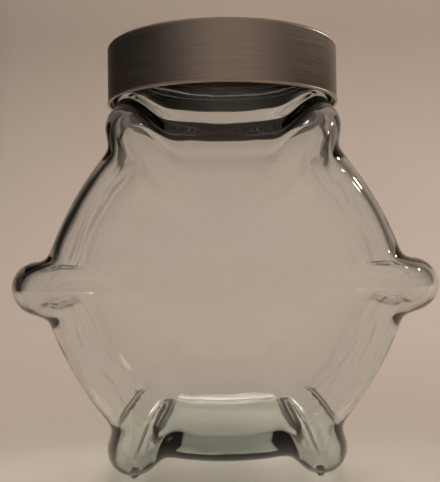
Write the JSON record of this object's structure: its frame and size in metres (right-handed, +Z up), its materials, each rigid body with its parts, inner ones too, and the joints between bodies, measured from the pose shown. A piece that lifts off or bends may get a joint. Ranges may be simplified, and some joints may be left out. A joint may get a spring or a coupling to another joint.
{
  "type": "coin bank jar",
  "caption": "Hexagonal clear glass jar with rounded ribs at its corners, standing on foot ridges and closed by a brushed steel screw lid with a coin slot.",
  "frame": {"origin": "centre of the object's base, on the plane of the two foot ridges, below the neck's axis", "axes": "+Z up along the neck's axis to the lid, -Y out of the front face, +X to the right seen from the front"},
  "size_m": [0.162, 0.099, 0.1664],
  "materials": {
    "clear_glass": "smooth clear soda glass with a grey-green edge tint",
    "brushed_lid": "stainless steel brushed round the wall, warm grey",
    "insert_plastic": "dark moulded polypropylene",
    "seal_foam": "soft dark grey sealing ring"
  },
  "bodies": {
    "jar": {"glass_jar": "clear_glass"},
    "seal": {"seal_ring": "seal_foam"},
    "lid": {"lid_shell": "brushed_lid", "thread_insert": "insert_plastic"}
  },
  "joints": [
    {"name": "lid_rise", "type": "slide", "parent": "jar", "child": "seal", "axis": [0, 0, 1], "range_m": [0, 0.0202]},
    {"name": "lid_turn", "type": "hinge", "parent": "seal", "child": "lid", "pos_m": [0, 0, 0.154], "axis": [0, 0, 1], "range_deg": [0, 1440]}
  ],
  "couplings": [
    {"joint": "lid_rise", "follows": "lid_turn", "m_per_rad": 0.00079577}
  ]
}
